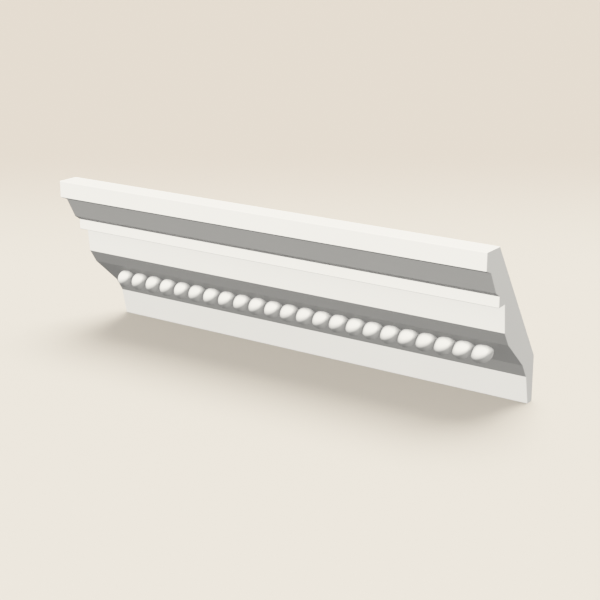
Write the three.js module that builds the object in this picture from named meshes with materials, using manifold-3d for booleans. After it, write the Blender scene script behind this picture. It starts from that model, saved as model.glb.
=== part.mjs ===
// Cornice moulding length: a white crown moulding with a row of rope beads.
//
// Millimetres. X runs along the moulding, -Y is the room side, +Y is into the wall, +Z is up.
// The origin is the centre of the flat back face that lies against the wall.

import * as THREE from 'three';
import { mergeVertices } from 'three/addons/utils/BufferGeometryUtils.js';
import Module from 'manifold-3d';

// Length of the piece, between two square cut ends
const LENGTH = 300;

// Faces of the profile from the top down: how far each one falls, or rises where it is less than
// zero, and how far it steps back
const FASCIA_FALL = 10.4;
const SOFFIT_FALL = 2.1;
const SOFFIT_STEP = 5.3;
const SPLAY_FALL = 12.6;
const SPLAY_STEP = 6.8;
const UNDERCUT_FALL = 2.7;
const UNDERCUT_STEP = 4.1;
const FILLET_FALL = 6.5;
const RETURN_FALL = -0.25;
const RETURN_STEP = 6.7;
const BAND_FALL = 16.45;
const BAND_STEP = 1.5;
const SHOULDER_FALL = 8.4;
const SHOULDER_STEP = 5.3;
const BED_FALL = 17.1;
const BED_STEP = 19.1;
const HIP_FALL = 8.3;
const HIP_STEP = 5.1;
const APRON_FALL = 17.2;
const APRON_STEP = 3.6;

// Thickness of the bottom edge, and the two flat faces that meet the building
const FOOT_THICKNESS = 5.4;
const WALL_FACE_HEIGHT = 27.8;
const CEILING_FACE_DEPTH = 14.4;

// Rope beads: how many, centre to centre, and the half sizes of one long bead
const BEAD_COUNT = 23;
const BEAD_PITCH = 11.85;
const BEAD_HALF_LENGTH = 9.54;
const BEAD_HALF_WIDTH = 5.2;
const BEAD_HALF_DEPTH = 5.44;

// How pointed the tips of a bead are, where 0 leaves them as round as an ellipse
const BEAD_POINT = 0.18;

// The ridge that runs out to the raised tip of a bead: its rise there as a share of the girth,
// the side it is on and how far round it spreads in degrees, and how soon it fades along the bead
const RIDGE_RISE = 0.5;
const RIDGE_SIDE = 197;
const RIDGE_SPREAD = 85;
const RIDGE_FADE = 2;

// How each bead lies, in degrees: slant up the bed, tip away from the bed, turn about its length
const BEAD_SLANT = 44.9;
const BEAD_TIP = 2.7;
const BEAD_TURN = 21.9;

// Where the middle of a bead is: down the bed from its top edge, and out from its face
const BEAD_DOWN_BED = 11.98;
const BEAD_LIFT = 3.23;

// Facets of a bead: round its girth, and from one tip to the other
const GIRTH_STEPS = 16;
const LENGTH_STEPS = 12;

const WHITE_PRIMER = { color: 0xf1f0ec, roughness: 0.6, metalness: 0 };

// Outline of the front as [step back from the fascia, fall from the top], turned into Y and Z
const FRONT_FACES = [
  [0, FASCIA_FALL],
  [SOFFIT_STEP, SOFFIT_FALL],
  [SPLAY_STEP, SPLAY_FALL],
  [UNDERCUT_STEP, UNDERCUT_FALL],
  [0, FILLET_FALL],
  [RETURN_STEP, RETURN_FALL],
  [BAND_STEP, BAND_FALL],
  [SHOULDER_STEP, SHOULDER_FALL],
  [BED_STEP, BED_FALL],
  [HIP_STEP, HIP_FALL],
  [APRON_STEP, APRON_FALL],
];
const BED_INDEX = 8;

const HEIGHT = FRONT_FACES.reduce((sum, face) => sum + face[1], 0);
const PROJECTION = FRONT_FACES.reduce((sum, face) => sum + face[0], FOOT_THICKNESS);
const TOP_Z = HEIGHT - WALL_FACE_HEIGHT / 2;

// Corners of the front from the top edge of the fascia to the bottom edge
function frontCorners() {
  const corners = [new THREE.Vector2(-PROJECTION, TOP_Z)];
  for (const [step, fall] of FRONT_FACES) {
    const last = corners[corners.length - 1];
    corners.push(new THREE.Vector2(last.x + step, last.y - fall));
  }
  return corners;
}

// Whole section: the front, the foot, the wall face, the sloping back and the ceiling face
function section() {
  const back = [
    new THREE.Vector2(0, TOP_Z - HEIGHT),
    new THREE.Vector2(0, TOP_Z - HEIGHT + WALL_FACE_HEIGHT),
    new THREE.Vector2(CEILING_FACE_DEPTH - PROJECTION, TOP_Z),
  ];
  return new THREE.Shape([...frontCorners(), ...back]);
}

// The plain moulding: the section drawn along X between the two cut ends
function plainLength() {
  const geometry = new THREE.ExtrudeGeometry(section(), { depth: LENGTH, bevelEnabled: false });
  const alongX = new THREE.Matrix4().makeBasis(
    new THREE.Vector3(0, 1, 0),
    new THREE.Vector3(0, 0, 1),
    new THREE.Vector3(1, 0, 0),
  );
  geometry.applyMatrix4(alongX);
  return geometry.translate(-LENGTH / 2, 0, 0);
}

// One long bead about its own middle, laid slantwise on the bed so that the row twists like rope
function bead() {
  const geometry = new THREE.SphereGeometry(1, GIRTH_STEPS, LENGTH_STEPS).rotateZ(Math.PI / 2);
  const points = geometry.attributes.position;
  for (let index = 0; index < points.count; index += 1) {
    const [x, y, z] = [points.getX(index), points.getY(index), points.getZ(index)];
    const away = Math.abs(Math.atan2(z, y)) / THREE.MathUtils.degToRad(RIDGE_SPREAD);
    const alongRidge = Math.max(0, (1 + x) / 2) ** RIDGE_FADE;
    const ridge = 1 + RIDGE_RISE * alongRidge * Math.max(0, 1 - away);
    const girth = ridge * Math.hypot(y, z) ** BEAD_POINT;
    points.setY(index, y * girth);
    points.setZ(index, z * girth);
  }
  geometry.rotateX(THREE.MathUtils.degToRad(RIDGE_SIDE));
  geometry.scale(BEAD_HALF_LENGTH, BEAD_HALF_WIDTH, BEAD_HALF_DEPTH);
  const [turn, tip, slant] = [BEAD_TURN, -BEAD_TIP, BEAD_SLANT].map(THREE.MathUtils.degToRad);
  const lie = new THREE.Matrix4().makeRotationFromEuler(new THREE.Euler(turn, tip, slant, 'ZYX'));
  return geometry.applyMatrix4(lie);
}

// The row of beads, centred on the length, each one set on the bed and overlapping the next
function beadRow() {
  const corners = frontCorners();
  const bedTop = corners[BED_INDEX];
  const down = corners[BED_INDEX + 1].clone().sub(bedTop).normalize();
  const outward = new THREE.Vector2(down.y, -down.x);
  const middle = bedTop.clone().addScaledVector(down, BEAD_DOWN_BED).addScaledVector(outward, BEAD_LIFT);
  const onBed = new THREE.Matrix4().makeBasis(
    new THREE.Vector3(1, 0, 0),
    new THREE.Vector3(0, -down.x, -down.y),
    new THREE.Vector3(0, outward.x, outward.y),
  );
  const oneBead = bead().applyMatrix4(onBed).translate(0, middle.x, middle.y);
  const beads = [];
  for (let index = 0; index < BEAD_COUNT; index += 1) {
    const x = (index - (BEAD_COUNT - 1) / 2) * BEAD_PITCH;
    beads.push(oneBead.clone().translate(x, 0, 0));
  }
  return beads;
}

const wasm = await Module();
wasm.setup();

// Turns a closed geometry into a solid that can be joined
function solidOf(geometry) {
  const bare = geometry.clone();
  bare.deleteAttribute('normal');
  bare.deleteAttribute('uv');
  const merged = mergeVertices(bare);
  return new wasm.Manifold(
    new wasm.Mesh({
      numProp: 3,
      vertProperties: new Float32Array(merged.attributes.position.array),
      triVerts: new Uint32Array(merged.index.array),
    }),
  );
}

// Turns a solid back into a geometry
function geometryOf(solid) {
  const mesh = solid.getMesh();
  const geometry = new THREE.BufferGeometry();
  geometry.setAttribute('position', new THREE.BufferAttribute(mesh.vertProperties, 3));
  geometry.setIndex(new THREE.BufferAttribute(mesh.triVerts, 1));
  geometry.computeVertexNormals();
  return geometry;
}

// The finished piece: moulding and beads in one
function moulding() {
  const solid = beadRow().reduce((sum, one) => sum.add(solidOf(one)), solidOf(plainLength()));
  const mesh = new THREE.Mesh(geometryOf(solid), new THREE.MeshStandardMaterial(WHITE_PRIMER));
  mesh.name = 'moulding';
  return mesh;
}

const cornice = new THREE.Group();
cornice.add(moulding());

export default cornice;
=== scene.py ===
import math

import bmesh
import bpy
from mathutils import Euler, Matrix, Vector


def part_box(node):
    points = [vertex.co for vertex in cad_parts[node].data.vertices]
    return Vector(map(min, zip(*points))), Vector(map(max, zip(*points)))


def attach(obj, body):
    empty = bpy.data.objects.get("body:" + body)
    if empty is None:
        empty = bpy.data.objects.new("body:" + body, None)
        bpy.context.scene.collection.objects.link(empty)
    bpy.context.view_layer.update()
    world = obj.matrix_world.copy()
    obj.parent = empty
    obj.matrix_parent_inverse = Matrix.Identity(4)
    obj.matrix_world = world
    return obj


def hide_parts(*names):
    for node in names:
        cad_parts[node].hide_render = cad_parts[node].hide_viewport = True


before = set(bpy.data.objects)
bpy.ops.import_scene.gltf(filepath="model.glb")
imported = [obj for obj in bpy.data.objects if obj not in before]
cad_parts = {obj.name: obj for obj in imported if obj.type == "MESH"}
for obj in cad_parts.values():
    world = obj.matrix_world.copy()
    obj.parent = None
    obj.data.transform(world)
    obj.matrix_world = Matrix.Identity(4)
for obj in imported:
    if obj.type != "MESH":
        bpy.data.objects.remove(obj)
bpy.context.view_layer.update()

MM = 0.001

# Rope beads, as in the solid: how many, centre to centre, and half sizes of one long bead
BEAD_COUNT = 23
BEAD_PITCH = 11.85 * MM
BEAD_HALF_LENGTH = 9.54 * MM
BEAD_HALF_WIDTH = 5.2 * MM
BEAD_HALF_DEPTH = 5.44 * MM

# How pointed the tips of a bead are, where 0 leaves them as round as an ellipse
BEAD_POINT = 0.18

# The ridge that runs out to the raised tip of a bead: its rise there as a share of the girth,
# the side it is on and how far round it spreads in degrees, and how soon it fades along the bead
RIDGE_RISE = 0.5
RIDGE_SIDE = 197
RIDGE_SPREAD = 85
RIDGE_FADE = 2

# How each bead lies, in degrees: slant up the bed, tip away from the bed, turn about its length
BEAD_SLANT = 44.9
BEAD_TIP = 2.7
BEAD_TURN = 21.9

# Where the middle of a bead is: down the bed from its top edge, and out from its face
BEAD_DOWN_BED = 11.98 * MM
BEAD_LIFT = 3.23 * MM

# Corner of the section, counted from the top front one, where the bed of the beads begins
BED_CORNER = 8

# Distance under which two points are one, as decimals of a metre too, and the turn in radians
# under which an outline runs straight on
SAME_PLACE = 0.001 * MM
SAME_PLACE_DECIMALS = 6
STRAIGHT_ON = 1e-4

# Rounded arrises of the section, and the slight easing of the cut ends
ARRIS_RADIUS = 0.35 * MM
ARRIS_STEPS = 4
END_EASE = 0.2 * MM

# Smoothness of a bead, and the angle over which an edge stays crisp, in degrees
BEAD_SEGMENTS = 48
BEAD_RINGS = 32
CRISP_ANGLE = 24

# White primer: its darker and its paler tone, where in the clouds each one is reached, the size
# and detail of the clouds, how rough they leave the surface, and how glossy the paint is
PRIMER_DARKER = (0.862, 0.857, 0.845)
PRIMER_PALER = (0.878, 0.873, 0.861)
CLOUD_DARKER = 0.3
CLOUD_PALER = 0.7
CLOUD_SCALE = 22
CLOUD_DETAIL = 4
LEAST_ROUGHNESS = 0.56
MOST_ROUGHNESS = 0.68
PRIMER_GLOSS = 0.3

# Fine grain of the primer
GRAIN_SCALE = 1400
GRAIN_DETAIL = 3
GRAIN_STRENGTH = 0.12
GRAIN_DEPTH = 0.08 * MM

# Painted shade that darkens the colour in inner corners and round the beads: how far out it reaches,
# the share of the colour left there, and how many rays look for it
PAINTED_SHADE_REACH = 12 * MM
PAINTED_SHADE_LEAST = 0
PAINTED_SHADE_SAMPLES = 12

# How much of that painted shade the flat faces take, where the beads take all of it
PAINTED_SHADE_FLAT_SHARE = 0.2

# Name of the mark that tells the faces of the beads from the flat ones
ON_BEADS = "on_beads"

# Camera at the angle of the photograph: its place, turn and dip, and its lens and sensor in mm
CAMERA_PLACE = (0.4627, -0.6836, 0.2754)
CAMERA_AZIMUTH = math.radians(34.663)
CAMERA_DIP = math.radians(17.211)
CAMERA_LENS = 83.68
CAMERA_SENSOR = 36

# Floor and wall of the picture: the floor's size, the two tones, how far behind the moulding the
# one starts and stops turning into the other, and how finely the ball of the backdrop is cut
FLOOR_SIZE = 12
FLOOR_TONE = (0.772, 0.695, 0.602)
WALL_TONE = (0.608, 0.512, 0.428)
FADE_BEGINS = 0.16
FADE_ENDS = 0.65
BACKDROP_CUTS = 4

# Soft sky over the floor: name, direction, width in degrees and share of the light of each lamp
FLOOR_LIGHT = 0.6
FLOOR_SKY = (
    ("even_sky", (0, 0, 1), 0, 0.28),
    ("wide_sky", (0, 0, 1), 170, 0.1),
    ("overhead", (0, 0.19, 1), 44, 0.62),
)

# Lamps of the moulding: name, direction and strength of each one, and their width in degrees
MOULDING_LAMPS = (
    ("key", (-0.1, -0.524, 0.913), 1.057),
    ("front_fill", (0, -1, 0.21), 0.093),
    ("right_fill", (1, 0, 0), 0.13),
    ("back_fill", (0.25, 0.97, 0), 0.205),
)
LAMP_WIDTH = 2

# Faint white light from all round, on everything
WHITE = (1, 1, 1, 1)
ROOM_LIGHT = 0.01

# Tone curve from light to picture, and the share of it that red, green and blue keep
HIGHLIGHT_CURVE = (
    (0.02, 0.109), (0.05, 0.24), (0.1, 0.4), (0.16, 0.5333), (0.24, 0.6545),
    (0.34, 0.7556), (0.46, 0.836), (0.53, 0.871), (0.65, 0.897), (0.8, 0.912),
)
HIGHLIGHT_TOP = 0.925
WARMTH = (1, 0.985, 0.945)


def in_scene(name, data):
    """A new object that shows the data, linked to the scene."""
    obj = bpy.data.objects.new(name, data)
    bpy.context.scene.collection.objects.link(obj)
    return obj


def object_of(bm, name):
    """A mesh object at the origin made of bm, which is used up."""
    mesh = bpy.data.meshes.new(name)
    bm.to_mesh(mesh)
    bm.free()
    return in_scene(name, mesh)


def mesh_object(name, verts, faces):
    """A mesh object at the origin with its faces turned outward."""
    bm = bmesh.new()
    points = [bm.verts.new(vert) for vert in verts]
    for face in faces:
        bm.faces.new([points[i] for i in face])
    bmesh.ops.recalc_face_normals(bm, faces=bm.faces)
    return object_of(bm, name)


def section_corners():
    """Corners of the CAD section at its left cut end, as (y, z), from the top front one down."""
    bm = bmesh.new()
    bm.from_mesh(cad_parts["moulding"].data)
    bmesh.ops.remove_doubles(bm, verts=bm.verts, dist=SAME_PLACE)
    left = min(v.co.x for v in bm.verts)
    ends = {f for f in bm.faces if all(v.co.x < left + SAME_PLACE for v in f.verts)}
    rim = [e for e in bm.edges if sum(f in ends for f in e.link_faces) == 1]
    links = {}
    for edge in rim:
        a, b = edge.verts
        links.setdefault(a, []).append(b)
        links.setdefault(b, []).append(a)
    start = min(links, key=lambda v: (round(v.co.y, SAME_PLACE_DECIMALS), -v.co.z))
    walk = [start, min(links[start], key=lambda v: v.co.z)]
    while len(walk) < len(links):
        walk.append(next(v for v in links[walk[-1]] if v is not walk[-2]))
    corners = [Vector((v.co.y, v.co.z)) for v in walk]
    bm.free()
    return [c for i, c in enumerate(corners) if turn_at(corners, i) > STRAIGHT_ON]


def edges_at(points, i):
    """The edge of the outline that leads to point i, and the one that leads on from it."""
    return points[i] - points[i - 1], points[(i + 1) % len(points)] - points[i]


def turn_at(points, i):
    """Angle that the outline turns through at point i."""
    before, after = edges_at(points, i)
    return abs(before.angle_signed(after))


def is_convex(points, i):
    """True where the outline, walked down the front first, turns outward at point i."""
    before, after = edges_at(points, i)
    return before.x * after.y - before.y * after.x > 0


def rounded(points):
    """The same outline with each outer corner turned into a small arc."""
    out = []
    for i, corner in enumerate(points):
        if not is_convex(points, i):
            out.append(corner)
            continue
        before, after = edges_at(points, i)
        back = -before.normalized()
        on = after.normalized()
        half = back.angle(on) / 2
        reach = ARRIS_RADIUS / math.tan(half)
        centre = corner + (back + on).normalized() * (ARRIS_RADIUS / math.sin(half))
        first = corner + back * reach - centre
        sweep = first.angle_signed(corner + on * reach - centre)
        for step in range(ARRIS_STEPS + 1):
            angle = -sweep * step / ARRIS_STEPS
            out.append(centre + Matrix.Rotation(angle, 2) @ first)
    return out


def drawn_in(points, by):
    """The outline moved inward by a small distance, square to its edges."""
    out = []
    for i, point in enumerate(points):
        normals = [Vector((-edge.y, edge.x)).normalized() for edge in edges_at(points, i)]
        middle = (normals[0] + normals[1]).normalized()
        out.append(point + middle * (by / middle.dot(normals[0])))
    return out


def plain_length(corners, half_length):
    """The section drawn along X, with rounded arrises and eased cut ends."""
    outline = rounded(corners)
    inner = drawn_in(outline, END_EASE)
    stations = [
        (-half_length, inner),
        (-half_length + END_EASE, outline),
        (half_length - END_EASE, outline),
        (half_length, inner),
    ]
    count = len(outline)
    verts = [(x, p.x, p.y) for x, ring in stations for p in ring]
    faces = []
    for ring in range(len(stations) - 1):
        for i in range(count):
            a = ring * count + i
            b = ring * count + (i + 1) % count
            faces.append((a, b, b + count, a + count))
    faces.append(tuple(reversed(range(count))))
    faces.append(tuple(range((len(stations) - 1) * count, len(stations) * count)))
    return mesh_object("moulding_cast", verts, faces)


def bead_place(corners):
    """Matrix from a unit ball, its raised tip up Z, to the middle bead of the row."""
    top = corners[BED_CORNER]
    down = (corners[BED_CORNER + 1] - top).normalized()
    outward = Vector((down.y, -down.x))
    middle = top + down * BEAD_DOWN_BED + outward * BEAD_LIFT
    on_bed = Matrix((
        (1, 0, 0, 0),
        (0, -down.x, outward.x, middle.x),
        (0, -down.y, outward.y, middle.y),
        (0, 0, 0, 1),
    ))
    slant = Matrix.Rotation(math.radians(BEAD_SLANT), 4, "Z")
    tip = Matrix.Rotation(math.radians(-BEAD_TIP), 4, "Y")
    turn = Matrix.Rotation(math.radians(BEAD_TURN), 4, "X")
    size = Matrix.Diagonal((BEAD_HALF_LENGTH, BEAD_HALF_WIDTH, BEAD_HALF_DEPTH, 1))
    poles_along_x = Matrix.Rotation(math.pi / 2, 4, "Y")
    ridge_side = Matrix.Rotation(math.radians(RIDGE_SIDE + 90), 4, "Z")
    return on_bed @ slant @ tip @ turn @ size @ poles_along_x @ ridge_side


def bead_object(name, place):
    """One smooth bead: a ball with pointed tips and a ridge that runs out to the raised one."""
    bm = bmesh.new()
    bmesh.ops.create_uvsphere(bm, u_segments=BEAD_SEGMENTS, v_segments=BEAD_RINGS, radius=1)
    for vert in bm.verts:
        away = abs(math.atan2(vert.co.y, vert.co.x)) / math.radians(RIDGE_SPREAD)
        along_ridge = max(0, (1 + vert.co.z) / 2) ** RIDGE_FADE
        ridge = 1 + RIDGE_RISE * along_ridge * max(0, 1 - away)
        vert.co.xy *= ridge * vert.co.xy.length ** BEAD_POINT
    bm.transform(place)
    bmesh.ops.recalc_face_normals(bm, faces=bm.faces)
    for face in bm.faces:
        face.smooth = True
    return object_of(bm, name)


def bead_objects(corners):
    """The row of beads, centred on the length, each one overlapping the next."""
    place = bead_place(corners)
    beads = []
    for index in range(BEAD_COUNT):
        x = (index - (BEAD_COUNT - 1) / 2) * BEAD_PITCH
        beads.append(bead_object(f"bead_{index}", Matrix.Translation((x, 0, 0)) @ place))
    return beads


def joined(base, others):
    """Base and others made into one closed skin."""
    for other in others:
        modifier = base.modifiers.new(other.name, "BOOLEAN")
        modifier.operation = "UNION"
        modifier.solver = "MANIFOLD"
        modifier.object = other
    graph = bpy.context.evaluated_depsgraph_get()
    mesh = bpy.data.meshes.new_from_object(base.evaluated_get(graph))
    base.modifiers.clear()
    base.data = mesh
    for other in others:
        bpy.data.objects.remove(other)
    return base


def noise(tree, scale, detail):
    """Noise from 0 to 1 that stays with the object."""
    place = tree.nodes.new("ShaderNodeTexCoord")
    node = tree.nodes.new("ShaderNodeTexNoise")
    node.inputs["Scale"].default_value = scale
    node.inputs["Detail"].default_value = detail
    tree.links.new(place.outputs["Object"], node.inputs["Vector"])
    return node.outputs["Fac"]


def between(tree, value, low, high):
    """A value from 0 to 1 turned into one from low to high."""
    node = tree.nodes.new("ShaderNodeMapRange")
    node.inputs["To Min"].default_value = low
    node.inputs["To Max"].default_value = high
    tree.links.new(value, node.inputs["Value"])
    return node.outputs["Result"]


def tone_ramp(tree, value, stops, interpolation):
    """Colour that passes from one stop, a position and a tone, to the next as the value grows."""
    node = tree.nodes.new("ShaderNodeValToRGB")
    node.color_ramp.interpolation = interpolation
    for element, (position, tone) in zip(node.color_ramp.elements, stops):
        element.position = position
        element.color = (*tone, 1)
    tree.links.new(value, node.inputs["Fac"])
    return node.outputs["Color"]


def with_painted_corner_shade(tree, tone):
    """The tone with painted shade in inner corners: fully on the beads, and a little on the flat
    faces.
    """
    corners = tree.nodes.new("ShaderNodeAmbientOcclusion")
    corners.samples = PAINTED_SHADE_SAMPLES
    corners.only_local = True
    corners.inputs["Distance"].default_value = PAINTED_SHADE_REACH
    beads = tree.nodes.new("ShaderNodeAttribute")
    beads.attribute_name = ON_BEADS
    shaded = tree.nodes.new("ShaderNodeMix")
    shaded.data_type = "RGBA"
    shaded.blend_type = "MULTIPLY"
    tree.links.new(between(tree, beads.outputs["Fac"], PAINTED_SHADE_FLAT_SHARE, 1), shaded.inputs["Factor"])
    tree.links.new(tone, shaded.inputs["A"])
    tree.links.new(between(tree, corners.outputs["AO"], PAINTED_SHADE_LEAST, 1), shaded.inputs["B"])
    return shaded.outputs["Result"]


def white_primer():
    """Matt white primer: faint clouds in tone and sheen, painted shade in the corners and a very fine
    grain.
    """
    material = bpy.data.materials.new("white_primer")
    material.use_nodes = True
    tree = material.node_tree
    shader = tree.nodes["Principled BSDF"]

    clouds = noise(tree, CLOUD_SCALE, CLOUD_DETAIL)
    stops = ((CLOUD_DARKER, PRIMER_DARKER), (CLOUD_PALER, PRIMER_PALER))
    tone = tone_ramp(tree, clouds, stops, "LINEAR")
    # Painted shade in inner corners is multiplied into the base colour
    tree.links.new(with_painted_corner_shade(tree, tone), shader.inputs["Base Color"])
    roughness = between(tree, clouds, LEAST_ROUGHNESS, MOST_ROUGHNESS)
    tree.links.new(roughness, shader.inputs["Roughness"])
    shader.inputs["Specular IOR Level"].default_value = PRIMER_GLOSS

    bump = tree.nodes.new("ShaderNodeBump")
    bump.inputs["Strength"].default_value = GRAIN_STRENGTH
    bump.inputs["Distance"].default_value = GRAIN_DEPTH
    tree.links.new(noise(tree, GRAIN_SCALE, GRAIN_DETAIL), bump.inputs["Height"])
    tree.links.new(bump.outputs["Normal"], shader.inputs["Normal"])
    return material


def moulding():
    """The cast length with its beads, standing for the CAD solid."""
    corners = section_corners()
    low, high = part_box("moulding")
    piece = joined(plain_length(corners, (high.x - low.x) / 2), bead_objects(corners))

    # Only the faces of the beads are smooth, and that is put back after the crisp edges are set
    on_beads = [face.use_smooth for face in piece.data.polygons]
    piece.data.set_sharp_from_angle(angle=math.radians(CRISP_ANGLE))
    piece.data.polygons.foreach_set("use_smooth", on_beads)
    # The mark sets how much painted shade a face takes: all of it on the faces of the beads
    mark = piece.data.attributes.new(ON_BEADS, "FLOAT", "FACE")
    mark.data.foreach_set("value", on_beads)

    piece.data.materials.clear()
    piece.data.materials.append(white_primer())
    piece.visible_diffuse = False
    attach(piece, "root")
    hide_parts("moulding")
    return piece


def plain_surface(name, shader_kind):
    """A new material with one shader of that kind, with its node tree and the shader."""
    material = bpy.data.materials.new(name)
    material.use_nodes = True
    tree = material.node_tree
    tree.nodes.clear()
    shader = tree.nodes.new(shader_kind)
    output = tree.nodes.new("ShaderNodeOutputMaterial")
    tree.links.new(shader.outputs[0], output.inputs["Surface"])
    return material, tree, shader


def floor():
    """Pale floor that passes slowly into the tone of the wall behind."""
    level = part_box("moulding")[0].z
    half = FLOOR_SIZE / 2
    corners = [(x, y, level) for x, y in ((-half, -half), (half, -half), (half, half), (-half, half))]
    obj = mesh_object("floor", corners, [(0, 1, 2, 3)])
    material, tree, shader = plain_surface("floor", "ShaderNodeBsdfDiffuse")
    place = tree.nodes.new("ShaderNodeNewGeometry")
    behind = tree.nodes.new("ShaderNodeVectorMath")
    behind.operation = "DOT_PRODUCT"
    behind.inputs[1].default_value = (-math.sin(CAMERA_AZIMUTH), math.cos(CAMERA_AZIMUTH), 0)
    tree.links.new(place.outputs["Position"], behind.inputs[0])
    stops = ((FADE_BEGINS, FLOOR_TONE), (FADE_ENDS, WALL_TONE))
    tone = tone_ramp(tree, behind.outputs["Value"], stops, "EASE")
    tree.links.new(tone, shader.inputs["Color"])
    obj.data.materials.append(material)
    obj.visible_diffuse = False
    obj.visible_glossy = False
    return obj


def backdrop():
    """A large ball round the scene in the tone of the wall, seen by the camera alone."""
    bm = bmesh.new()
    bmesh.ops.create_icosphere(bm, subdivisions=BACKDROP_CUTS, radius=FLOOR_SIZE / 2)
    obj = object_of(bm, "backdrop")
    material, _, shader = plain_surface("backdrop", "ShaderNodeEmission")
    shader.inputs["Color"].default_value = (*[c * FLOOR_LIGHT for c in WALL_TONE], 1)
    obj.data.materials.append(material)
    obj.visible_diffuse = False
    obj.visible_glossy = False
    obj.visible_transmission = False
    obj.visible_shadow = False


def sun(name, toward, strength, width, shadow, receiver):
    """A distant light from the direction toward, as strong as a white face sees it, on one object."""
    data = bpy.data.lights.new(name, "SUN")
    data.energy = strength * math.pi
    data.angle = math.radians(width)
    data.use_shadow = shadow
    lamp = in_scene(name, data)
    lamp.rotation_euler = Vector(toward).to_track_quat("Z", "Y").to_euler()
    group = bpy.data.collections.new(name + "_on")
    group.objects.link(receiver)
    lamp.light_linking.receiver_collection = group
    return lamp


def lights(floor_object, piece):
    """Key from high in front with weak fills for the moulding, and a soft sky for the floor."""
    for name, toward, strength in MOULDING_LAMPS:
        sun(name, toward, strength, LAMP_WIDTH, shadow=False, receiver=piece)
    for name, toward, width, share in FLOOR_SKY:
        sky = sun(name, toward, FLOOR_LIGHT * share, width, shadow=width > 0, receiver=floor_object)
        sky.data.cycles.use_multiple_importance_sampling = False

    world = bpy.data.worlds.new("soft_room")
    world.use_nodes = True
    background = world.node_tree.nodes["Background"]
    background.inputs["Color"].default_value = WHITE
    background.inputs["Strength"].default_value = ROOM_LIGHT
    bpy.context.scene.world = world


def tone_curve():
    """Film-like rolling off of the highlights, the same for the whole picture."""
    settings = bpy.context.scene.view_settings
    settings.view_transform = "Standard"
    settings.look = "None"
    settings.use_curve_mapping = True
    mapping = settings.curve_mapping
    for channel, gain in zip(mapping.curves, WARMTH):
        channel.points[-1].location = (1, HIGHLIGHT_TOP * gain)
        for x, y in HIGHLIGHT_CURVE:
            channel.points.new(x, y * gain)
    mapping.update()


def camera():
    """Camera at the angle of the photograph."""
    data = bpy.data.cameras.new("camera")
    data.lens = CAMERA_LENS
    data.sensor_width = CAMERA_SENSOR
    obj = in_scene("camera", data)
    obj.location = CAMERA_PLACE
    obj.rotation_euler = Euler((math.pi / 2 - CAMERA_DIP, 0, CAMERA_AZIMUTH))
    bpy.context.scene.camera = obj


cast = moulding()
ground = floor()
backdrop()
lights(ground, cast)
tone_curve()
camera()
